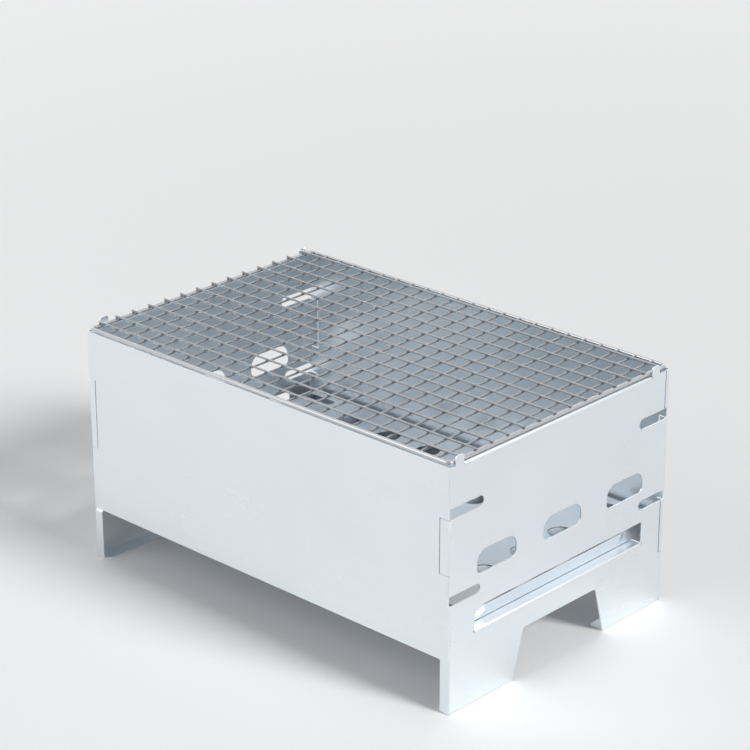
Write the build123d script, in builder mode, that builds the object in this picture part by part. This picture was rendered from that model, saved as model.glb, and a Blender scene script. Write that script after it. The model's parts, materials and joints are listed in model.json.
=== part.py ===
from build123d import *
import math
import os

# Body, measured over the outer faces of the sheets (mm)
body_length = 351.0
body_width = 230.0
body_height = 180.0
sheet = 1.0
bend_outer = 1.5
lap_gap = 0.1
seat_gap = 0.3
notch_gap = 0.7

# Legs and skirt
skirt_z = 40.0
leg_flange = 8.5
foot_reach = 12.5
foot_gap = 0.4
foot_chamfer = 2.0
leg_foot_width = 66.0
leg_top_width = 76.0
arch_z = 37.0
arch_radius = 4.0
flange_round = 3.0

# Corner slots, measured from the corner inwards
low_slot_z = 80.6
low_slot_height = 7.4
low_slot_depth = 30.6
high_slot_drop = 37.0
high_slot_height = 8.0
high_slot_depth = 33.0

# Corner tabs, flanges and slits
plain_tab_reach = 8.5
plain_tab_z = 103.0
slit_tab_reach = 6.6
slit_tab_z = 89.5
slit_width = 1.0
return_reach = 4.3
return_slit = 0.9
joggle_rise = 1.5

# Ears and top flange of the end panels
ear_width = 8.0
ear_height = 6.5
ear_radius = 2.0
plain_ear_inset = 5.0
slit_ear_inset = 12.4
ear_gap = 0.8
top_flange_reach = 4.4

# Air holes and tray opening of the end panels
air_hole_count = 3
air_hole_width = body_width * 0.174
air_hole_height = 16.8
air_hole_pitch = body_width * 0.2957
air_hole_z = 94.6
air_hole_top_radius = 9.0
air_hole_foot_radius = 4.5
opening_z = 54.4
opening_height = 16.6
opening_margin = 25.4
ledge_reach = 16.0
relief_radius = 1.25

# Ash tray
tray_depth = 11.0
tray_flare = 3.5
tray_flare_start = 33.0
tray_flare_run = 7.0
tray_side_gap = 0.6
tray_lift_gap = 0.4
tray_corner = 2.0

# Charcoal plate
plate_height = 13.0
plate_gap = 0.4
plate_side_gap = 0.8
hole_columns = 8
hole_rows = 5
hole_radius = 9.25
hole_end_margin = 24.0
hole_side_margin = 29.0
plate_slot_length = 31.0
plate_slot_width = 8.0
plate_slot_inset = 13.0

# Grate
border_wire = 3.0
grid_wire = 1.6
border_corner = 3.0
grate_end_gap = 0.5
grate_side_inset = 0.2
weld_gap = 0.02
long_wire_count = 14
cross_wire_count = 23
first_cross_inset = 4.6
last_cross_inset = 12.0
long_wire_inset = 10.8
cross_wire_inset = 3.2

# Sizes that follow from the ones above
half_length = body_length / 2
half_width = body_width / 2
low_slot_top = low_slot_z + low_slot_height
high_slot_z = body_height - high_slot_drop
high_slot_top = high_slot_z + high_slot_height
plain_tab_top = high_slot_z - 1.0
slit_tab_top = high_slot_z - 0.4
lap = sheet + lap_gap
return_stop = return_reach + return_slit
joggle_top = skirt_z - 0.5
joggle_z = joggle_top - joggle_rise
slit_ear_edge = slit_ear_inset + ear_width

ledge_top = opening_z
tray_z = ledge_top + seat_gap
tray_top = tray_z + tray_depth
tray_opening = body_length - 2 * top_flange_reach
tray_length = tray_opening - 2 * (tray_lift_gap + tray_flare)
tray_width = body_width - 2 * (lap + sheet + tray_side_gap)

plate_length = tray_length - 2 * (sheet + plate_gap)
plate_width = tray_width - 2 * (sheet + plate_side_gap)
plate_z = tray_z + sheet + seat_gap
deck_top = plate_z + plate_height

grate_length = body_length - 2 * (sheet + grate_end_gap)
grate_width = body_width - 2 * grate_side_inset
border_z = body_height + seat_gap + border_wire / 2
long_wire_z = border_z + (border_wire + grid_wire) / 2 + weld_gap
cross_wire_z = long_wire_z - grid_wire - weld_gap


def bent_flange(corner, along, inward, length, reach):
    """Bend and flat of one flange; its outside corner line is centred on the given point."""
    inner = bend_outer - sheet
    diagonal = math.sqrt(0.5)
    outer_mid = (bend_outer * (diagonal - 1), bend_outer * (1 - diagonal))
    inner_mid = (inner * diagonal - bend_outer, bend_outer - inner * diagonal)
    section = Plane(origin=corner, x_dir=along, z_dir=Vector(*along).cross(Vector(*inward)))
    with BuildPart() as flange:
        with BuildSketch(section):
            with BuildLine():
                ThreePointArc((-bend_outer, 0), outer_mid, (0, bend_outer))
                Polyline((0, bend_outer), (0, reach), (-sheet, reach), (-sheet, bend_outer))
                ThreePointArc((-sheet, bend_outer), inner_mid, (-bend_outer, sheet))
                Line((-bend_outer, sheet), (-bend_outer, 0))
            make_face()
        extrude(amount=length / 2, both=True)
    return flange.part


def corner_flange(side, edge_y, low, high, reach):
    """Upright flange bent from an end panel onto the long side at y = side * edge_y."""
    corner = (half_length, side * edge_y, (low + high) / 2)
    return bent_flange(corner, (0, side, 0), (-1, 0, 0), high - low, reach)


# End panel: the low y corner is the plain corner, the high y corner is the slit corner
plain_side = -half_width
slit_side = half_width

end_cuts = [
    # plain corner: leg edge, lower slot, tab and upper slot
    (plain_side, plain_side + lap + bend_outer, 0, low_slot_z),
    (plain_side, plain_side + low_slot_depth - low_slot_height / 2, low_slot_z, low_slot_top),
    (plain_side, plain_side + bend_outer, plain_tab_z - notch_gap, high_slot_z),
    (plain_side, plain_side + high_slot_depth - high_slot_height / 2, high_slot_z, high_slot_top),
    # slit corner: leg edge, return slits, slots and tab
    (slit_side - bend_outer, slit_side, 0, joggle_z),
    (slit_side - return_stop, slit_side, skirt_z - seat_gap, low_slot_z),
    (slit_side - low_slot_depth + low_slot_height / 2, slit_side, low_slot_z, low_slot_top),
    (slit_side - bend_outer, slit_side, low_slot_top, high_slot_z),
    (slit_side - high_slot_depth + high_slot_height / 2, slit_side, high_slot_z, high_slot_top),
    (slit_side - return_stop, slit_side, high_slot_top, body_height),
    # top flange bend, tray opening, ledge bend and foot bends
    (plain_side + plain_ear_inset + ear_width, slit_side - slit_ear_edge,
     body_height - bend_outer, body_height),
    (plain_side + opening_margin, slit_side - opening_margin, opening_z, opening_z + opening_height),
    (plain_side + opening_margin + 1, slit_side - opening_margin - 1, opening_z - bend_outer, opening_z),
    (plain_side, slit_side, 0, bend_outer),
]
slot_ends = [
    (plain_side + low_slot_depth - low_slot_height / 2, low_slot_z + low_slot_height / 2,
     low_slot_height / 2),
    (slit_side - low_slot_depth + low_slot_height / 2, low_slot_z + low_slot_height / 2,
     low_slot_height / 2),
    (plain_side + high_slot_depth - high_slot_height / 2, high_slot_z + high_slot_height / 2,
     high_slot_height / 2),
    (slit_side - high_slot_depth + high_slot_height / 2, high_slot_z + high_slot_height / 2,
     high_slot_height / 2),
    (plain_side + opening_margin + 0.3, opening_z - 0.8, relief_radius),
    (slit_side - opening_margin - 0.3, opening_z - 0.8, relief_radius),
]
ear_centres = [
    plain_side + plain_ear_inset + ear_width / 2,
    slit_side - slit_ear_inset - ear_width / 2,
]

top_low = plain_side + plain_ear_inset + ear_width + ear_gap
top_high = slit_side - slit_ear_edge - ear_gap
top_flange = bent_flange(
    (half_length, (top_low + top_high) / 2, body_height), (0, 0, 1), (-1, 0, 0),
    top_high - top_low, top_flange_reach)
ledge = bent_flange(
    (half_length, 0, opening_z), (0, 0, 1), (-1, 0, 0),
    body_width - 2 * opening_margin - 2, ledge_reach)

plain_foot_start = lap + bend_outer + foot_gap
plain_foot = bent_flange(
    (half_length, plain_side + (plain_foot_start + leg_foot_width) / 2, 0), (0, 0, -1), (-1, 0, 0),
    leg_foot_width - plain_foot_start, foot_reach)
slit_foot_start = bend_outer + foot_gap
slit_foot = bent_flange(
    (half_length, slit_side - (slit_foot_start + leg_foot_width) / 2, 0), (0, 0, -1), (-1, 0, 0),
    leg_foot_width - slit_foot_start, foot_reach)

plain_leg = corner_flange(-1, half_width - lap, foot_gap, low_slot_z, leg_flange)
plain_tab = corner_flange(-1, half_width, plain_tab_z, plain_tab_top, plain_tab_reach)
slit_leg = corner_flange(1, half_width, foot_gap, joggle_z - foot_gap, leg_flange)
slit_tab = corner_flange(1, half_width, slit_tab_z, slit_tab_top, slit_tab_reach)

tongue_top = low_slot_z - 0.5
tongue_line = [
    (half_width, joggle_z - 10),
    (half_width, joggle_z),
    (half_width - lap, joggle_top),
    (half_width - lap, tongue_top),
    (half_width - lap - sheet, tongue_top),
    (half_width - lap - sheet, joggle_top - 0.2),
    (half_width - sheet, joggle_z - 0.2),
    (half_width - sheet, joggle_z - 10),
]

with BuildPart() as right_end_panel:
    with BuildSketch(Plane.YZ.offset(half_length - sheet)):
        with Locations((0, body_height / 2)):
            Rectangle(body_width, body_height)
        for ear_y in ear_centres:
            with Locations((ear_y, body_height + ear_height / 2 - 3)):
                RectangleRounded(ear_width, ear_height + 6, ear_radius)
        for low_y, high_y, low_z, high_z in end_cuts:
            with Locations(((low_y + high_y) / 2, (low_z + high_z) / 2)):
                Rectangle(high_y - low_y, high_z - low_z, mode=Mode.SUBTRACT)
        for centre_y, centre_z, radius in slot_ends:
            with Locations((centre_y, centre_z)):
                Circle(radius, mode=Mode.SUBTRACT)
    extrude(amount=sheet)
    with BuildSketch(Plane.YZ.offset(half_length - 2 * sheet)):
        Polygon(
            (-half_width + leg_foot_width, 0),
            (half_width - leg_foot_width, 0),
            (half_width - leg_top_width, arch_z),
            (-half_width + leg_top_width, arch_z),
            align=None,
        )
        fillet(vertices().group_by(Axis.Y)[-1], arch_radius)
    extrude(amount=3 * sheet, mode=Mode.SUBTRACT)
    with BuildSketch(Plane.YZ.offset(half_length - 2 * sheet)):
        with Locations((0, air_hole_z + air_hole_height / 2)):
            with GridLocations(air_hole_pitch, 0, air_hole_count, 1):
                Rectangle(air_hole_width, air_hole_height)
        fillet(vertices().group_by(Axis.Y)[-1], air_hole_top_radius)
        fillet(vertices().group_by(Axis.Y)[0], air_hole_foot_radius)
    extrude(amount=3 * sheet, mode=Mode.SUBTRACT)
    for piece in [top_flange, ledge, plain_foot, slit_foot, plain_leg, plain_tab, slit_leg, slit_tab]:
        add(piece)
    with BuildSketch(Plane.YZ.offset(half_length - leg_flange)):
        Polygon(*tongue_line, align=None)
    extrude(amount=leg_flange - bend_outer)
    fillet(
        edges().filter_by(Axis.Y)
        .filter_by_position(Axis.X, half_length - leg_flange - 0.1, half_length - leg_flange + 0.1)
        .filter_by_position(Axis.Z, tongue_top - 0.1, low_slot_z + 0.1),
        flange_round,
    )
    chamfer(
        edges().filter_by(Axis.Z)
        .filter_by_position(Axis.X, half_length - foot_reach - 0.1, half_length - foot_reach + 0.1)
        .filter_by_position(Axis.Z, 0, sheet),
        foot_chamfer,
    )

left_end_panel = right_end_panel.part.rotate(Axis.Z, 180)

# Long panel: the right end is the plain corner, the left end is the slit corner
long_cuts = [
    (half_length - lap, half_length, low_slot_z, body_height),
    (half_length - plain_tab_reach - notch_gap, half_length, plain_tab_z - notch_gap,
     plain_tab_top + notch_gap),
    (-half_length, -half_length + bend_outer, skirt_z, low_slot_z),
    (-half_length, -half_length + lap, low_slot_z, high_slot_top),
    (-half_length, -half_length + bend_outer, high_slot_top, body_height),
    (-half_length, -half_length + slit_tab_reach + slit_width, slit_tab_z - notch_gap,
     slit_tab_top + notch_gap),
]
low_return = bent_flange(
    (-half_length, -half_width, (skirt_z + low_slot_z - seat_gap) / 2), (-1, 0, 0), (0, 1, 0),
    low_slot_z - seat_gap - skirt_z, return_reach)
high_return = bent_flange(
    (-half_length, -half_width, (high_slot_top + seat_gap + body_height) / 2), (-1, 0, 0), (0, 1, 0),
    body_height - high_slot_top - seat_gap, return_reach)

with BuildPart() as front_panel:
    with BuildSketch(Plane.XZ.offset(half_width - sheet)):
        with Locations((0, (skirt_z + body_height) / 2)):
            Rectangle(body_length, body_height - skirt_z)
        for low_x, high_x, low_z, high_z in long_cuts:
            with Locations(((low_x + high_x) / 2, (low_z + high_z) / 2)):
                Rectangle(high_x - low_x, high_z - low_z, mode=Mode.SUBTRACT)
    extrude(amount=sheet)
    add(low_return)
    add(high_return)

back_panel = front_panel.part.rotate(Axis.Z, 180)

# Ash tray: the middle of each end wall leans outwards
flare_rows = [
    (-tray_width / 2, 0.0),
    (-tray_width / 2 + tray_flare_start, 0.0),
    (-tray_width / 2 + tray_flare_start + tray_flare_run, tray_flare),
    (tray_width / 2 - tray_flare_start - tray_flare_run, tray_flare),
    (tray_width / 2 - tray_flare_start, 0.0),
    (tray_width / 2, 0.0),
]


def tray_block(inset):
    """Lofted body of the tray, pulled in on the sides and the bottom by the inset."""
    low = tray_z + inset
    high = tray_top + inset
    floor_share = inset / tray_depth
    with BuildPart() as block:
        for row, (row_y, flare) in enumerate(flare_rows):
            edge = inset if row in (0, len(flare_rows) - 1) else 0.0
            shift = edge if row_y < 0 else -edge
            low_x = tray_length / 2 - inset + flare * floor_share
            high_x = tray_length / 2 - inset + flare * (1 + floor_share)
            with BuildSketch(Plane.XZ.offset(-row_y - shift)):
                Polygon((-low_x, low), (low_x, low), (high_x, high), (-high_x, high), align=None)
        loft(ruled=True)
    return block.part


outer_block = tray_block(0.0)
inner_block = tray_block(sheet)

with BuildPart() as ash_tray:
    add(outer_block)
    fillet(
        edges().filter_by(Axis.Z)
        .filter_by(lambda edge: abs(abs(edge.center().Y) - tray_width / 2) < 0.1),
        tray_corner,
    )
    add(inner_block, mode=Mode.SUBTRACT)

# Charcoal plate: perforated deck standing on two long flanges
hole_pitch_x = (plate_length - 2 * hole_end_margin) / (hole_columns - 1)
hole_pitch_y = (plate_width - 2 * hole_side_margin) / (hole_rows - 1)

with BuildPart() as charcoal_plate:
    with BuildSketch(Plane.YZ.offset(-plate_length / 2)):
        with Locations((0, plate_z + plate_height / 2)):
            Rectangle(plate_width, plate_height)
        fillet(vertices().group_by(Axis.Y)[-1], bend_outer)
    extrude(amount=plate_length)
    with BuildSketch(Plane.YZ.offset(-plate_length / 2)):
        with Locations((0, plate_z + (plate_height - sheet) / 2)):
            Rectangle(plate_width - 2 * sheet, plate_height - sheet)
        fillet(vertices().group_by(Axis.Y)[-1], bend_outer - sheet)
    extrude(amount=plate_length, mode=Mode.SUBTRACT)
    with BuildSketch(Plane.XY.offset(deck_top)):
        with GridLocations(hole_pitch_x, hole_pitch_y, hole_columns, hole_rows):
            Circle(hole_radius)
        with GridLocations(hole_pitch_x * (hole_columns - 1), hole_pitch_y * (hole_rows - 1), 2, 2):
            Rectangle(2 * hole_radius + 1, 2 * hole_radius + 1, mode=Mode.SUBTRACT)
    extrude(amount=-2 * sheet, mode=Mode.SUBTRACT)
    with BuildSketch(Plane.XY.offset(deck_top)):
        with GridLocations(plate_length, plate_width - 2 * plate_slot_inset, 2, 2):
            SlotOverall(2 * plate_slot_length, plate_slot_width)
    extrude(amount=-2 * sheet, mode=Mode.SUBTRACT)

# Grate: a thick border wire that carries two layers of thin wires
path_length = grate_length - border_wire
path_width = grate_width - border_wire

with BuildPart() as grate_border:
    with BuildLine(Plane.XY.offset(border_z)) as border_path:
        Polyline(
            (0, -path_width / 2),
            (path_length / 2, -path_width / 2),
            (path_length / 2, path_width / 2),
            (-path_length / 2, path_width / 2),
            (-path_length / 2, -path_width / 2),
            (0, -path_width / 2),
        )
        fillet(vertices().filter_by(lambda point: abs(point.X) > 1), border_corner)
    with BuildSketch(Plane(origin=(0, -path_width / 2, border_z), z_dir=(1, 0, 0))):
        Circle(border_wire / 2)
    sweep(path=border_path.wires()[0])


def straight_wire(section, length):
    """One straight thin wire centred on its section plane."""
    with BuildPart() as wire:
        with BuildSketch(section):
            Circle(grid_wire / 2)
        extrude(amount=length / 2, both=True)
    return wire.part


long_pitch = (grate_width - 2 * long_wire_inset) / (long_wire_count - 1)
long_wires = []
for index in range(long_wire_count):
    wire_y = -grate_width / 2 + long_wire_inset + index * long_pitch
    section = Plane(origin=(0, wire_y, long_wire_z), z_dir=(1, 0, 0))
    long_wires.append(straight_wire(section, grate_length - 0.6))

cross_span = grate_length - first_cross_inset - last_cross_inset
cross_wires = []
for index in range(cross_wire_count):
    wire_x = -grate_length / 2 + first_cross_inset + index * cross_span / (cross_wire_count - 1)
    section = Plane(origin=(wire_x, 0, cross_wire_z), z_dir=(0, 1, 0))
    cross_wires.append(straight_wire(section, grate_width - 2 * cross_wire_inset))

nodes = {
    "front_panel": front_panel.part,
    "back_panel": back_panel,
    "left_end_panel": left_end_panel,
    "right_end_panel": right_end_panel.part,
    "ash_tray": ash_tray.part,
    "charcoal_plate": charcoal_plate.part,
    "grate_border": grate_border.part,
}
for index, wire in enumerate(long_wires, start=1):
    nodes[f"grate_long_wire_{index:02d}"] = wire
for index, wire in enumerate(cross_wires, start=1):
    nodes[f"grate_cross_wire_{index:02d}"] = wire

os.makedirs("parts", exist_ok=True)
for name, node in nodes.items():
    node.label = name
    export_step(node, f"parts/{name}.step")
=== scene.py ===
"""Visual model of a knock-down charcoal grill: satin sheets, lift-out layers, a welded grate."""
import json
import logging
import math
from dataclasses import dataclass, field
from enum import Enum

import bmesh
import bpy
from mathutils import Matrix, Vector

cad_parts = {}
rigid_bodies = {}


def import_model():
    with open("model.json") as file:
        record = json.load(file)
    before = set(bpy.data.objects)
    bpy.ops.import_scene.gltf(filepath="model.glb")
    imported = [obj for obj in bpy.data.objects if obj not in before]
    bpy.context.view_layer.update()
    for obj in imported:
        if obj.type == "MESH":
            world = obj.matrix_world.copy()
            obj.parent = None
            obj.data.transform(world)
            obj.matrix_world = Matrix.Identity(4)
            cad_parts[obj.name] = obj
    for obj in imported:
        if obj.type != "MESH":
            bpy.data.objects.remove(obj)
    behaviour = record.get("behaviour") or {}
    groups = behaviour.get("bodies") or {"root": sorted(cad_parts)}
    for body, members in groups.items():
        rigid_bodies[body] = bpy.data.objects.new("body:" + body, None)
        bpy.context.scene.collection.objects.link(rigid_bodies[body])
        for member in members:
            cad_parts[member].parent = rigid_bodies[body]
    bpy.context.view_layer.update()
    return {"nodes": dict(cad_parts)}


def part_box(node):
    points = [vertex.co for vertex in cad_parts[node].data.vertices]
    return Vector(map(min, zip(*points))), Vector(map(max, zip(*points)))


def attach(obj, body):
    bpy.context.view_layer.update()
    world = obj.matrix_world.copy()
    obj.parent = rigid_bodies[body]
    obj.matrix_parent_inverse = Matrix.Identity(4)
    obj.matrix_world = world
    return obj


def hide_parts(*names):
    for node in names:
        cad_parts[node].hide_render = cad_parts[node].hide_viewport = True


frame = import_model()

MM = 0.001
LOG = logging.getLogger("grill")

Colour = tuple[float, float, float]
Triple = tuple[float, float, float]


class Grain(Enum):
    """Direction in which the polishing lines of a sheet run, as noise frequencies per metre."""

    ALONG_LENGTH = (9.0, 900.0, 900.0)
    ALONG_WIDTH = (900.0, 9.0, 900.0)
    UPRIGHT = (900.0, 900.0, 9.0)


class ShaderParts:
    """Shader node groups that several finishes share."""

    LINE_DETAIL = 5.0
    LINE_ROUGHNESS = 0.62
    SWELL_DETAIL = 1.5
    PATCH_DETAIL = 4.0
    PATCH_DISTORTION = 0.6
    PATCH_RANGE = (0.35, 0.7)

    def __init__(self) -> None:
        """Builds every group once."""
        self.grain = self._grain()
        self.haze = self._haze()
        self.tint = self._tint()

    @staticmethod
    def _group(
        name: str, inputs: dict[str, tuple[str, object]], outputs: dict[str, str]
    ) -> tuple[bpy.types.ShaderNodeTree, bpy.types.Node, bpy.types.Node]:
        """Makes an empty node group with named sockets.

        Args:
            name: name of the group.
            inputs: socket name to socket type and default value.
            outputs: socket name to socket type.

        Returns:
            The group, its input node and its output node.
        """
        group = bpy.data.node_groups.new(name, "ShaderNodeTree")
        for label, (kind, default) in inputs.items():
            socket = group.interface.new_socket(name=label, in_out="INPUT", socket_type=kind)
            socket.default_value = default
        for label, kind in outputs.items():
            group.interface.new_socket(name=label, in_out="OUTPUT", socket_type=kind)
        return group, group.nodes.new("NodeGroupInput"), group.nodes.new("NodeGroupOutput")

    def _grain(self) -> bpy.types.ShaderNodeTree:
        """Fine polishing lines with a slow swell of the rolled sheet.

        Returns:
            A group that puts out Lines and Swell, both 0 to 1.
        """
        group, ins, outs = self._group(
            "polishing_lines",
            {
                "Place": ("NodeSocketVector", (0.0, 0.0, 0.0)),
                "Line Frequency": ("NodeSocketVector", (900.0, 9.0, 900.0)),
                "Swell Frequency": ("NodeSocketFloat", 9.0),
            },
            {"Lines": "NodeSocketFloat", "Swell": "NodeSocketFloat"},
        )
        nodes, links = group.nodes, group.links
        stretch = nodes.new("ShaderNodeVectorMath")
        stretch.operation = "MULTIPLY"
        links.new(ins.outputs["Place"], stretch.inputs[0])
        links.new(ins.outputs["Line Frequency"], stretch.inputs[1])
        fine = nodes.new("ShaderNodeTexNoise")
        fine.inputs["Scale"].default_value = 1.0
        fine.inputs["Detail"].default_value = self.LINE_DETAIL
        fine.inputs["Roughness"].default_value = self.LINE_ROUGHNESS
        links.new(stretch.outputs["Vector"], fine.inputs["Vector"])
        slow = nodes.new("ShaderNodeTexNoise")
        slow.inputs["Detail"].default_value = self.SWELL_DETAIL
        links.new(ins.outputs["Place"], slow.inputs["Vector"])
        links.new(ins.outputs["Swell Frequency"], slow.inputs["Scale"])
        links.new(fine.outputs["Fac"], outs.inputs["Lines"])
        links.new(slow.outputs["Fac"], outs.inputs["Swell"])
        return group

    def _haze(self) -> bpy.types.ShaderNodeTree:
        """Uneven sheen left by handling and wiping.

        Returns:
            A group that puts out a Haze mask, 0 to 1.
        """
        group, ins, outs = self._group(
            "handling_haze",
            {
                "Place": ("NodeSocketVector", (0.0, 0.0, 0.0)),
                "Patch Frequency": ("NodeSocketFloat", 24.0),
                "Amount": ("NodeSocketFloat", 0.5),
            },
            {"Haze": "NodeSocketFloat"},
        )
        nodes, links = group.nodes, group.links
        patch = nodes.new("ShaderNodeTexNoise")
        patch.inputs["Detail"].default_value = self.PATCH_DETAIL
        patch.inputs["Distortion"].default_value = self.PATCH_DISTORTION
        links.new(ins.outputs["Place"], patch.inputs["Vector"])
        links.new(ins.outputs["Patch Frequency"], patch.inputs["Scale"])
        spread = nodes.new("ShaderNodeMapRange")
        spread.inputs["From Min"].default_value = self.PATCH_RANGE[0]
        spread.inputs["From Max"].default_value = self.PATCH_RANGE[1]
        links.new(patch.outputs["Fac"], spread.inputs["Value"])
        scale = nodes.new("ShaderNodeMath")
        scale.operation = "MULTIPLY"
        links.new(spread.outputs["Result"], scale.inputs[0])
        links.new(ins.outputs["Amount"], scale.inputs[1])
        links.new(scale.outputs["Value"], outs.inputs["Haze"])
        return group

    def _tint(self) -> bpy.types.ShaderNodeTree:
        """Slow change of colour over a sheet, darkened a little along its polishing lines.

        Returns:
            A group that puts out Colour.
        """
        group, ins, outs = self._group(
            "rolled_tint",
            {
                "Swell": ("NodeSocketFloat", 0.5),
                "Lines": ("NodeSocketFloat", 0.5),
                "Light Tone": ("NodeSocketColor", (0.8, 0.85, 0.9, 1.0)),
                "Deep Tone": ("NodeSocketColor", (0.74, 0.8, 0.86, 1.0)),
                "Line Depth": ("NodeSocketFloat", 0.06),
            },
            {"Colour": "NodeSocketColor"},
        )
        nodes, links = group.nodes, group.links
        tone = nodes.new("ShaderNodeMix")
        tone.data_type = "RGBA"
        links.new(ins.outputs["Swell"], tone.inputs["Factor"])
        links.new(ins.outputs["Light Tone"], tone.inputs["A"])
        links.new(ins.outputs["Deep Tone"], tone.inputs["B"])
        depth = nodes.new("ShaderNodeMath")
        depth.operation = "MULTIPLY"
        links.new(ins.outputs["Lines"], depth.inputs[0])
        links.new(ins.outputs["Line Depth"], depth.inputs[1])
        keep = nodes.new("ShaderNodeMath")
        keep.operation = "SUBTRACT"
        keep.inputs[0].default_value = 1.0
        links.new(depth.outputs["Value"], keep.inputs[1])
        shade = nodes.new("ShaderNodeVectorMath")
        shade.operation = "SCALE"
        links.new(tone.outputs["Result"], shade.inputs[0])
        links.new(keep.outputs["Value"], shade.inputs["Scale"])
        links.new(shade.outputs["Vector"], outs.inputs["Colour"])
        return group


@dataclass(frozen=True)
class SteelFinish:
    """A polished or satin steel surface.

    Attributes:
        name: name of the material.
        light: lighter tone of the metal.
        deep: deeper tone of the metal.
        grain: direction of the polishing lines.
        gloss: lowest and highest roughness.
        line_depth: how far the lines darken the metal.
        bump: strength of the relief.
        swell: frequency of the slow swell, per metre.
        painted_outline_reflection: painted reflection of the floor, a pale tone mixed in towards a
            thin round wire's outline.
        streak: how far the lines roughen the metal.
        relief: height of the relief, in metres.
    """

    name: str
    light: Colour
    deep: Colour
    grain: Grain = Grain.ALONG_LENGTH
    gloss: tuple[float, float] = (0.24, 0.36)
    line_depth: float = 0.05
    bump: float = 0.06
    swell: float = 9.0
    painted_outline_reflection: Colour | None = None
    streak: float = 0.08
    relief: float = 0.05 * MM

    def material(self, parts: ShaderParts) -> bpy.types.Material:
        """Builds the node material.

        Args:
            parts: the shared shader groups.

        Returns:
            The finished material.
        """
        material = bpy.data.materials.new(self.name)
        material.use_nodes = True
        nodes, links = material.node_tree.nodes, material.node_tree.links
        shader = nodes["Principled BSDF"]
        shader.inputs["Metallic"].default_value = 1.0
        place = nodes.new("ShaderNodeTexCoord")

        grain = nodes.new("ShaderNodeGroup")
        grain.node_tree = parts.grain
        grain.inputs["Line Frequency"].default_value = self.grain.value
        grain.inputs["Swell Frequency"].default_value = self.swell
        links.new(place.outputs["Object"], grain.inputs["Place"])

        haze = nodes.new("ShaderNodeGroup")
        haze.node_tree = parts.haze
        links.new(place.outputs["Object"], haze.inputs["Place"])

        tint = nodes.new("ShaderNodeGroup")
        tint.node_tree = parts.tint
        tint.inputs["Light Tone"].default_value = (*self.light, 1.0)
        tint.inputs["Deep Tone"].default_value = (*self.deep, 1.0)
        tint.inputs["Line Depth"].default_value = self.line_depth
        links.new(grain.outputs["Swell"], tint.inputs["Swell"])
        links.new(grain.outputs["Lines"], tint.inputs["Lines"])
        if self.painted_outline_reflection is None:
            links.new(tint.outputs["Colour"], shader.inputs["Base Color"])
        else:
            # Painted reflection: the pale tone of the mirrored floor is mixed in towards the
            # outline, by how far the face turns from the camera.
            turned = nodes.new("ShaderNodeLayerWeight")
            turned.inputs["Blend"].default_value = 0.5
            outline = nodes.new("ShaderNodeMix")
            outline.data_type = "RGBA"
            outline.inputs["B"].default_value = (*self.painted_outline_reflection, 1.0)
            links.new(turned.outputs["Facing"], outline.inputs["Factor"])
            links.new(tint.outputs["Colour"], outline.inputs["A"])
            links.new(outline.outputs["Result"], shader.inputs["Base Color"])

        rough = nodes.new("ShaderNodeMapRange")
        rough.inputs["To Min"].default_value = self.gloss[0]
        rough.inputs["To Max"].default_value = self.gloss[1]
        links.new(haze.outputs["Haze"], rough.inputs["Value"])
        streak = nodes.new("ShaderNodeMath")
        streak.operation = "MULTIPLY_ADD"
        streak.inputs[1].default_value = self.streak
        links.new(grain.outputs["Lines"], streak.inputs[0])
        links.new(rough.outputs["Result"], streak.inputs[2])
        links.new(streak.outputs["Value"], shader.inputs["Roughness"])

        relief = nodes.new("ShaderNodeBump")
        relief.inputs["Strength"].default_value = self.bump
        relief.inputs["Distance"].default_value = self.relief
        links.new(grain.outputs["Lines"], relief.inputs["Height"])
        links.new(relief.outputs["Normal"], shader.inputs["Normal"])
        return material


@dataclass(frozen=True)
class StudioFloorFinish:
    """Plain pale floor, painted a little paler far from the grill and darker around it as painted
    light.

    Attributes:
        name: name of the material.
        near: tone around the grill, the darker end of the painted light.
        far: tone of the distant floor, paled as painted light.
        reach: distances between which the tone changes.
        roughness: roughness of the floor.
        specular: strength of the floor's mirror light.
    """

    name: str = "pale_floor"
    near: Colour = (0.86, 0.86, 0.863)
    far: Colour = (0.98, 0.98, 0.981)
    reach: tuple[float, float] = (0.5, 2.4)
    roughness: float = 0.85
    specular: float = 0.2

    def material(self) -> bpy.types.Material:
        """Builds the floor material."""
        material = bpy.data.materials.new(self.name)
        material.use_nodes = True
        nodes, links = material.node_tree.nodes, material.node_tree.links
        shader = nodes["Principled BSDF"]
        shader.inputs["Roughness"].default_value = self.roughness
        shader.inputs["Specular IOR Level"].default_value = self.specular
        place = nodes.new("ShaderNodeTexCoord")
        away = nodes.new("ShaderNodeVectorMath")
        away.operation = "LENGTH"
        links.new(place.outputs["Object"], away.inputs[0])
        share = nodes.new("ShaderNodeMapRange")
        share.interpolation_type = "SMOOTHSTEP"
        share.inputs["From Min"].default_value = self.reach[0]
        share.inputs["From Max"].default_value = self.reach[1]
        links.new(away.outputs["Value"], share.inputs["Value"])
        # Painted light: the floor's tone pales with distance from the grill.
        tone = nodes.new("ShaderNodeMix")
        tone.data_type = "RGBA"
        tone.inputs["A"].default_value = (*self.near, 1.0)
        tone.inputs["B"].default_value = (*self.far, 1.0)
        links.new(share.outputs["Result"], tone.inputs["Factor"])
        links.new(tone.outputs["Result"], shader.inputs["Base Color"])
        return material


def ride_piece(piece: bpy.types.Object, body: str) -> bpy.types.Object:
    """Fixes a finished piece to its body.

    Args:
        piece: the finished object.
        body: the body that carries it.

    Returns:
        The same object.
    """
    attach(piece, body)
    LOG.info("%s rides on %s: %d faces", piece.name, body, len(piece.data.polygons))
    return piece


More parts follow.
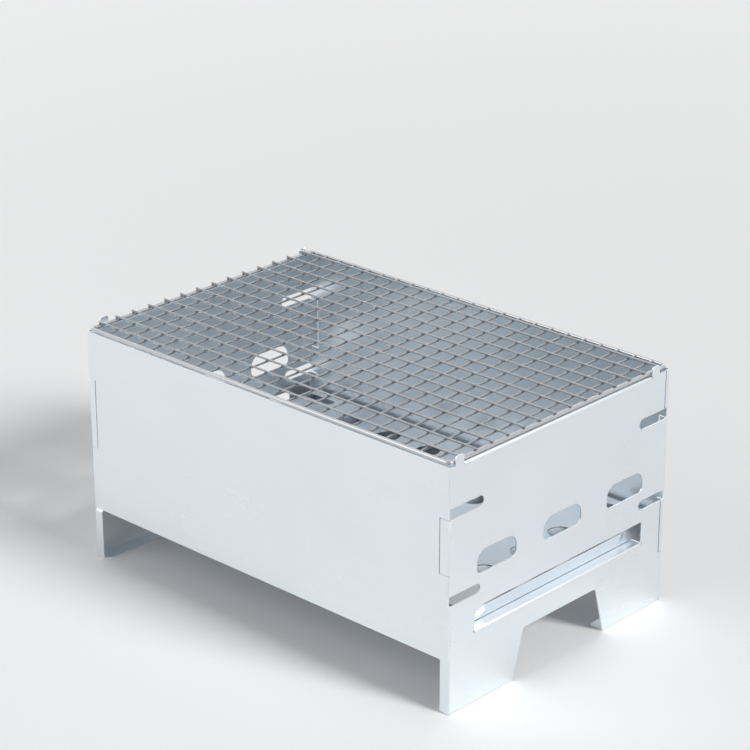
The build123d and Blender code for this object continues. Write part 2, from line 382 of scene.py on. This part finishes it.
@dataclass
class SheetPart:
    """A sheet piece whose cut edges are broken, standing for one node of the frame.

    Attributes:
        node: name of the node.
        body: body that the node belongs to.
        slot: material slot of the node; not used.
        edge_break: width of the broken edge.
        flat_angle: largest angle between faces that count as one flat face.
        edge_angle: smallest angle at which an edge is broken.
        join: distance within which corners count as one.
        edge_steps: faces across a broken edge.
    """

    node: str
    body: str
    slot: str
    edge_break: float = 0.16 * MM
    flat_angle: float = math.radians(0.4)
    edge_angle: float = math.radians(50.0)
    join: float = 0.002 * MM
    edge_steps: int = 2

    def mesh(self) -> bpy.types.Mesh:
        """Copies the node's mesh, joins its triangles into flat faces and breaks the edges.

        Returns:
            The new mesh.
        """
        work = bmesh.new()
        work.from_mesh(frame["nodes"][self.node].data)
        bmesh.ops.remove_doubles(work, verts=work.verts, dist=self.join)
        bmesh.ops.dissolve_limit(work, angle_limit=self.flat_angle,
                                 verts=work.verts, edges=work.edges)
        sharp = [edge for edge in work.edges if len(edge.link_faces) == 2
                 and edge.calc_face_angle(0.0) > self.edge_angle]
        bmesh.ops.bevel(work, geom=sharp, offset=self.edge_break, offset_type="OFFSET",
                        segments=self.edge_steps, profile=0.5, affect="EDGES", clamp_overlap=True)
        mesh = bpy.data.meshes.new(self.node + "_sheet")
        work.to_mesh(mesh)
        work.free()
        return mesh

    def build(self, material: bpy.types.Material) -> bpy.types.Object:
        """Makes the piece and lets it stand for its node.

        Args:
            material: finish of the sheet.

        Returns:
            The finished piece.
        """
        mesh = self.mesh()
        mesh.materials.clear()
        mesh.materials.append(material)
        for face in mesh.polygons:
            face.material_index = 0
        piece = bpy.data.objects.new(self.node + "_sheet", mesh)
        bpy.context.scene.collection.objects.link(piece)
        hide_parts(self.node)
        return ride_piece(piece, self.body)


@dataclass
class Body:
    """The four hooked panels.

    Attributes:
        long_panels: nodes of the front and back panels.
        end_panels: nodes of the left and right panels.
        light: lighter tone of the sheet.
        deep: deeper tone of the sheet.
    """

    long_panels: tuple[str, ...] = ("front_panel", "back_panel")
    end_panels: tuple[str, ...] = ("left_end_panel", "right_end_panel")
    light: Colour = (0.885, 0.93, 0.96)
    deep: Colour = (0.84, 0.89, 0.93)

    def build(self, parts: ShaderParts) -> None:
        """Makes and dresses the panels.

        Args:
            parts: the shared shader groups.
        """
        long_finish = SteelFinish("satin_long_panel", self.light, self.deep, Grain.ALONG_LENGTH)
        end_finish = SteelFinish("satin_end_panel", self.light, self.deep, Grain.ALONG_WIDTH)
        for nodes, finish in ((self.long_panels, long_finish), (self.end_panels, end_finish)):
            material = finish.material(parts)
            for node in nodes:
                SheetPart(node, "body", "panel_steel").build(material)


@dataclass
class AshTray:
    """The shallow tray under the charcoal.

    Attributes:
        node: name of the tray's node.
        light: lighter tone of the sheet.
        deep: deeper tone of the sheet.
        gloss: lowest and highest roughness.
    """

    node: str = "ash_tray"
    light: Colour = (0.86, 0.90, 0.94)
    deep: Colour = (0.80, 0.85, 0.90)
    gloss: tuple[float, float] = (0.28, 0.4)

    def build(self, parts: ShaderParts) -> None:
        """Makes and dresses the tray.

        Args:
            parts: the shared shader groups.
        """
        finish = SteelFinish("satin_tray", self.light, self.deep, gloss=self.gloss)
        SheetPart(self.node, "tray", "tray_steel").build(finish.material(parts))


@dataclass
class CharcoalPlate:
    """The perforated plate that carries the charcoal.

    Attributes:
        node: name of the plate's node.
        light: lighter tone of the flanges.
        deep: deeper tone of the flanges.
        shaded_deck_light: lighter tone of the deck, darkened as painted shade.
        shaded_deck_deep: deeper tone of the deck, darkened as painted shade.
        gloss: lowest and highest roughness.
        painted_shade_lean: a face whose normal rises more than this belongs to the deck and gets the
            painted shade.
    """

    node: str = "charcoal_plate"
    light: Colour = (0.83, 0.87, 0.905)
    deep: Colour = (0.78, 0.825, 0.87)
    shaded_deck_light: Colour = (0.575, 0.615, 0.65)
    shaded_deck_deep: Colour = (0.49, 0.535, 0.575)
    gloss: tuple[float, float] = (0.3, 0.42)
    painted_shade_lean: float = 0.7

    def build(self, parts: ShaderParts) -> None:
        """Makes and dresses the plate, with painted shade on its deck.

        Args:
            parts: the shared shader groups.
        """
        # The deck gets a darker copy of the flange steel: painted shade on every face turned up or
        # down.
        flange = SteelFinish("satin_plate_flange", self.light, self.deep, gloss=self.gloss)
        deck = SteelFinish("satin_plate_deck_painted_shade", self.shaded_deck_light, self.shaded_deck_deep, gloss=self.gloss)
        piece = SheetPart(self.node, "plate", "plate_steel").build(flange.material(parts))
        piece.data.materials.append(deck.material(parts))
        # Faces turned up or down take the painted-shade copy.
        for face in piece.data.polygons:
            face.material_index = int(abs(face.normal.z) > self.painted_shade_lean)


class WeldField:
    """Geometry Nodes tree that sets small weld beads on a rectangular pattern of points."""

    SEED = 7
    SEGMENTS = 8
    RINGS = 5
    INPUTS = {
        "Columns": ("NodeSocketInt", 2),
        "Rows": ("NodeSocketInt", 2),
        "Length": ("NodeSocketFloat", 0.3),
        "Width": ("NodeSocketFloat", 0.2),
        "Centre": ("NodeSocketVector", (0.0, 0.0, 0.0)),
        "Bead": ("NodeSocketVector", (0.001, 0.001, 0.0005)),
        "Unevenness": ("NodeSocketFloat", 0.15),
        "Finish": ("NodeSocketMaterial", None),
    }

    def __init__(self) -> None:
        """Builds the tree."""
        self.tree = bpy.data.node_groups.new("weld_beads", "GeometryNodeTree")
        self.ids: dict[str, str] = {}
        for label, (kind, default) in self.INPUTS.items():
            socket = self.tree.interface.new_socket(name=label, in_out="INPUT", socket_type=kind)
            if default is not None:
                socket.default_value = default
            self.ids[label] = socket.identifier
        self.tree.interface.new_socket(name="Geometry", in_out="OUTPUT",
                                       socket_type="NodeSocketGeometry")
        self._wire_up()

    def _wire_up(self) -> None:
        """Lays out grid, beads, unevenness, placing and finish."""
        nodes, links = self.tree.nodes, self.tree.links
        ins, outs = nodes.new("NodeGroupInput"), nodes.new("NodeGroupOutput")
        grid = nodes.new("GeometryNodeMeshGrid")
        links.new(ins.outputs["Length"], grid.inputs["Size X"])
        links.new(ins.outputs["Width"], grid.inputs["Size Y"])
        links.new(ins.outputs["Columns"], grid.inputs["Vertices X"])
        links.new(ins.outputs["Rows"], grid.inputs["Vertices Y"])
        bead = nodes.new("GeometryNodeMeshUVSphere")
        bead.inputs["Segments"].default_value = self.SEGMENTS
        bead.inputs["Rings"].default_value = self.RINGS
        bead.inputs["Radius"].default_value = 1.0
        uneven = nodes.new("FunctionNodeRandomValue")
        uneven.data_type = "FLOAT_VECTOR"
        uneven.inputs["Seed"].default_value = self.SEED
        low = nodes.new("ShaderNodeMath")
        low.operation = "SUBTRACT"
        low.inputs[0].default_value = 1.0
        links.new(ins.outputs["Unevenness"], low.inputs[1])
        high = nodes.new("ShaderNodeMath")
        high.inputs[0].default_value = 1.0
        links.new(ins.outputs["Unevenness"], high.inputs[1])
        links.new(low.outputs["Value"], uneven.inputs[0])
        links.new(high.outputs["Value"], uneven.inputs[1])
        size = nodes.new("ShaderNodeVectorMath")
        size.operation = "MULTIPLY"
        links.new(ins.outputs["Bead"], size.inputs[0])
        links.new(uneven.outputs["Value"], size.inputs[1])
        place = nodes.new("GeometryNodeInstanceOnPoints")
        links.new(grid.outputs["Mesh"], place.inputs["Points"])
        links.new(bead.outputs["Mesh"], place.inputs["Instance"])
        links.new(size.outputs["Vector"], place.inputs["Scale"])
        move = nodes.new("GeometryNodeTransform")
        links.new(place.outputs["Instances"], move.inputs["Geometry"])
        links.new(ins.outputs["Centre"], move.inputs["Translation"])
        real = nodes.new("GeometryNodeRealizeInstances")
        links.new(move.outputs["Geometry"], real.inputs["Geometry"])
        finish = nodes.new("GeometryNodeSetMaterial")
        links.new(real.outputs["Geometry"], finish.inputs["Geometry"])
        links.new(ins.outputs["Finish"], finish.inputs["Material"])
        links.new(finish.outputs["Geometry"], outs.inputs["Geometry"])

    def piece(self, name: str, values: dict[str, object]) -> bpy.types.Object:
        """Runs the tree and turns the result into a plain object.

        Args:
            name: name of the new object.
            values: input name to value.

        Returns:
            The object, with a plain mesh and no modifier.
        """
        holder = bpy.data.objects.new(name + "_points", bpy.data.meshes.new(name + "_points"))
        bpy.context.scene.collection.objects.link(holder)
        modifier = holder.modifiers.new("beads", "NODES")
        modifier.node_group = self.tree
        for label, value in values.items():
            modifier[self.ids[label]] = value
        bpy.context.view_layer.update()
        graph = bpy.context.evaluated_depsgraph_get()
        mesh = bpy.data.meshes.new_from_object(holder.evaluated_get(graph))
        holder.modifiers.remove(modifier)
        bpy.data.objects.remove(holder)
        mesh.name = name
        for face in mesh.polygons:
            face.use_smooth = True
        piece = bpy.data.objects.new(name, mesh)
        bpy.context.scene.collection.objects.link(piece)
        return piece


@dataclass
class WireGrate:
    """The welded grate: a thick border wire and two layers of thin wires.

    Attributes:
        long_count: number of wires along the length.
        cross_count: number of wires across.
        wire: diameter of a thin wire.
        border: diameter of the border wire.
        light: lighter tone of a thin wire, near black as a painted reflection of dark surroundings.
        deep: deeper tone of a thin wire, near black as a painted reflection of dark surroundings.
        edge: painted reflection of the floor, a pale tone towards the outline of every wire.
        border_light: lighter tone of the border wire, darkened as a painted reflection of dark
            surroundings.
        border_deep: deeper tone of the border wire, darkened as a painted reflection of dark
            surroundings.
        bead_light: lighter tone of a weld.
        bead_deep: deeper tone of a weld.
        gloss: lowest and highest roughness of a wire.
        bead_gloss: lowest and highest roughness of a weld.
        uneven: how much the welds differ in size.
        names: nodes that have been dressed.
    """

    long_count: int = 14
    cross_count: int = 23
    wire: float = 1.6 * MM
    border: float = 3.0 * MM
    # Wire tones are darkened as a painted reflection of dark surroundings: near black for the thin
    # wires, mid grey for the border.
    light: Colour = (0.10, 0.102, 0.106)
    deep: Colour = (0.035, 0.036, 0.039)
    # Painted reflection of the floor towards every wire's outline.
    edge: Colour = (0.93, 0.94, 0.95)
    border_light: Colour = (0.42, 0.425, 0.435)
    border_deep: Colour = (0.30, 0.305, 0.315)
    bead_light: Colour = (0.26, 0.265, 0.275)
    bead_deep: Colour = (0.12, 0.125, 0.135)
    gloss: tuple[float, float] = (0.06, 0.14)
    bead_gloss: tuple[float, float] = (0.3, 0.46)
    uneven: float = 0.15
    names: list[str] = field(default_factory=list)

    def dress_nodes(self, parts: ShaderParts) -> bpy.types.Material:
        """Gives the wires their drawn finish, with painted reflections: dark tones for dark
        surroundings and a pale tone towards each outline for the floor.

        Args:
            parts: the shared shader groups.

        Returns:
            The finish of the weld beads.
        """
        along = SteelFinish("drawn_long_wire", self.light, self.deep, Grain.ALONG_LENGTH,
                            gloss=self.gloss, painted_outline_reflection=self.edge)
        across = SteelFinish("drawn_cross_wire", self.light, self.deep, Grain.ALONG_WIDTH,
                             gloss=self.gloss, painted_outline_reflection=self.edge)
        rim = SteelFinish("drawn_border_wire", self.border_light, self.border_deep,
                          Grain.ALONG_LENGTH, gloss=self.gloss, painted_outline_reflection=self.edge)
        bead = SteelFinish("weld_bead", self.bead_light, self.bead_deep, Grain.UPRIGHT,
                           gloss=self.bead_gloss, bump=0.3, swell=400.0)
        finishes = {
            "grate_long_wire": along.material(parts),
            "grate_cross_wire": across.material(parts),
            "grate_border": rim.material(parts),
        }
        for name, node in frame["nodes"].items():
            for start, material in finishes.items():
                if name.startswith(start):
                    node.data.materials.clear()
                    node.data.materials.append(material)
                    self.names.append(name)
        LOG.info("%d grate wires dressed", len(self.names))
        return bead.material(parts)

    def weld(self, welds: WeldField, finish: bpy.types.Material) -> None:
        """Sets the weld beads where wires cross and where they meet the border.

        Args:
            welds: the bead tree.
            finish: finish of the beads.
        """
        first_low, first_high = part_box("grate_cross_wire_01")
        last_low, last_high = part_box(f"grate_cross_wire_{self.cross_count:02d}")
        long_low, long_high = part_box("grate_long_wire_01")
        top_low, top_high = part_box(f"grate_long_wire_{self.long_count:02d}")
        rim_low, rim_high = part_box("grate_border")
        x_first, x_last = (first_low.x + first_high.x) / 2, (last_low.x + last_high.x) / 2
        y_first, y_last = (long_low.y + long_high.y) / 2, (top_low.y + top_high.y) / 2
        contact_z = first_high.z
        mid_x = (x_first + x_last) / 2
        rim_x = rim_high.x - self.border / 2
        rim_y = rim_high.y - self.border
        patterns = {
            "grate_crossing_welds": {
                "Columns": self.cross_count, "Rows": self.long_count,
                "Length": x_last - x_first, "Width": y_last - y_first,
                "Centre": (mid_x, 0.0, contact_z),
                "Bead": (0.95 * MM, 0.95 * MM, 0.55 * MM),
            },
            "grate_end_welds": {
                "Columns": 2, "Rows": self.long_count,
                "Length": 2 * rim_x, "Width": y_last - y_first,
                "Centre": (0.0, 0.0, rim_high.z),
                "Bead": (1.1 * MM, 1.15 * MM, 0.5 * MM),
            },
            "grate_side_welds": {
                "Columns": self.cross_count, "Rows": 2,
                "Length": x_last - x_first, "Width": 2 * rim_y,
                "Centre": (mid_x, 0.0, (first_low.z + first_high.z) / 2),
                "Bead": (1.05 * MM, 0.7 * MM, 0.8 * MM),
            },
            "grate_wire_tips": {
                "Columns": 2, "Rows": self.long_count,
                "Length": long_high.x - long_low.x, "Width": y_last - y_first,
                "Centre": (0.0, 0.0, (long_low.z + long_high.z) / 2),
                "Bead": (0.3 * MM, self.wire / 2, self.wire / 2),
            },
        }
        for name, values in patterns.items():
            uneven = 0.0 if name == "grate_wire_tips" else self.uneven
            piece = welds.piece(name, {**values, "Unevenness": uneven, "Finish": finish})
            ride_piece(piece, "grate")

    def build(self, parts: ShaderParts) -> None:
        """Dresses the wires and welds them.

        Args:
            parts: the shared shader groups.
        """
        self.weld(WeldField(), self.dress_nodes(parts))


@dataclass
class Studio:
    """Floor, soft light and camera.

    Attributes:
        camera_place: place of the lens, in metres.
        view_line: direction in which the camera looks.
        focal: focal length, in millimetres.
        sensor: width of the sensor, in millimetres.
        clip: nearest and farthest distance that the camera sees.
        floor_half: half the side of the floor.
        ambient: strength of the world's light.
        sun_from: direction from which the key light comes.
        sun_strength: strength of the key light.
        sun_angle: width of the key light in the sky, which softens the shadows.
        sun_tone: colour of the key light.
        sky_tone: colour of the surrounding light and of the fill light.
        fill_from: place of the fill light.
        fill_size: side of the fill light's square.
        fill_power: power of the fill light, in watts.
        aim: point that the fill light is aimed at.
    """

    camera_place: Triple = (1.1510, -1.2264, 0.8510)
    view_line: Triple = (-0.6325, 0.6750, -0.3799)
    focal: float = 122.82
    sensor: float = 36.0
    clip: tuple[float, float] = (0.01, 60.0)
    floor_half: float = 12.0
    ambient: float = 0.40
    sun_from: Triple = (0.88, 0.13, 0.62)
    sun_strength: float = 2.35
    sun_angle: float = math.radians(17.0)
    sun_tone: Colour = (1.0, 0.993, 0.985)
    sky_tone: Colour = (0.97, 0.985, 1.0)
    fill_from: Triple = (-1.2, -2.4, 1.9)
    fill_size: float = 2.2
    fill_power: float = 22.0
    aim: Triple = (0.0, 0.0, 0.1)

    def floor(self) -> None:
        """Lays the floor."""
        mesh = bpy.data.meshes.new("floor")
        half = self.floor_half
        corners = [(-half, -half, 0.0), (half, -half, 0.0), (half, half, 0.0), (-half, half, 0.0)]
        mesh.from_pydata(corners, [], [(0, 1, 2, 3)])
        mesh.materials.append(StudioFloorFinish().material())
        floor = bpy.data.objects.new("floor", mesh)
        bpy.context.scene.collection.objects.link(floor)

    def lamp(self, name: str, place: Triple, size: float, power: float, tone: Colour) -> None:
        """Adds a square soft light aimed at the grill.

        Args:
            name: name of the light.
            place: where it stands.
            size: side of its square.
            power: power in watts.
            tone: colour of its light.
        """
        data = bpy.data.lights.new(name, "AREA")
        data.shape = "SQUARE"
        data.size = size
        data.energy = power
        data.color = tone
        lamp = bpy.data.objects.new(name, data)
        lamp.location = place
        aim = Vector(self.aim) - Vector(place)
        lamp.rotation_mode = "QUATERNION"
        lamp.rotation_quaternion = aim.to_track_quat("-Z", "Y")
        bpy.context.scene.collection.objects.link(lamp)

    def key(self) -> None:
        """Adds the wide soft key light, equally strong all over the floor."""
        data = bpy.data.lights.new("key", "SUN")
        data.energy = self.sun_strength
        data.angle = self.sun_angle
        data.color = self.sun_tone
        lamp = bpy.data.objects.new("key", data)
        lamp.location = Vector(self.sun_from) * 3.0
        lamp.rotation_mode = "QUATERNION"
        lamp.rotation_quaternion = (-Vector(self.sun_from)).to_track_quat("-Z", "Y")
        bpy.context.scene.collection.objects.link(lamp)

    def world(self) -> None:
        """Makes the plain surrounding light, which the camera and mirror rays see brighter."""
        world = bpy.data.worlds.new("studio")
        bpy.context.scene.world = world
        world.use_nodes = True
        nodes, links = world.node_tree.nodes, world.node_tree.links
        background = nodes["Background"]
        background.inputs["Color"].default_value = (*self.sky_tone, 1.0)
        path = nodes.new("ShaderNodeLightPath")
        seen = nodes.new("ShaderNodeMath")
        seen.operation = "MAXIMUM"
        links.new(path.outputs["Is Camera Ray"], seen.inputs[0])
        links.new(path.outputs["Is Glossy Ray"], seen.inputs[1])
        also = nodes.new("ShaderNodeMath")
        also.operation = "MAXIMUM"
        links.new(seen.outputs["Value"], also.inputs[0])
        links.new(path.outputs["Is Transmission Ray"], also.inputs[1])
        level = nodes.new("ShaderNodeMapRange")
        level.inputs["To Min"].default_value = self.ambient
        level.inputs["To Max"].default_value = 1.0
        links.new(also.outputs["Value"], level.inputs["Value"])
        links.new(level.outputs["Result"], background.inputs["Strength"])

    def camera(self) -> None:
        """Sets the camera at the photograph's viewing angle."""
        data = bpy.data.cameras.new("camera")
        data.lens = self.focal
        data.sensor_width = self.sensor
        data.clip_start, data.clip_end = self.clip
        camera = bpy.data.objects.new("camera", data)
        camera.location = self.camera_place
        camera.rotation_mode = "QUATERNION"
        camera.rotation_quaternion = Vector(self.view_line).to_track_quat("-Z", "Y")
        bpy.context.scene.collection.objects.link(camera)
        bpy.context.scene.camera = camera

    def build(self) -> None:
        """Sets up the whole studio."""
        bpy.context.scene.view_settings.view_transform = "Standard"
        self.floor()
        self.world()
        self.key()
        self.lamp("fill", self.fill_from, self.fill_size, self.fill_power, self.sky_tone)
        self.camera()


def main() -> None:
    logging.basicConfig(level=logging.INFO, format="%(name)s: %(message)s")
    parts = ShaderParts()
    for part in (Body(), AshTray(), CharcoalPlate(), WireGrate()):
        part.build(parts)
    Studio().build()


if __name__ == "__main__":
    main()
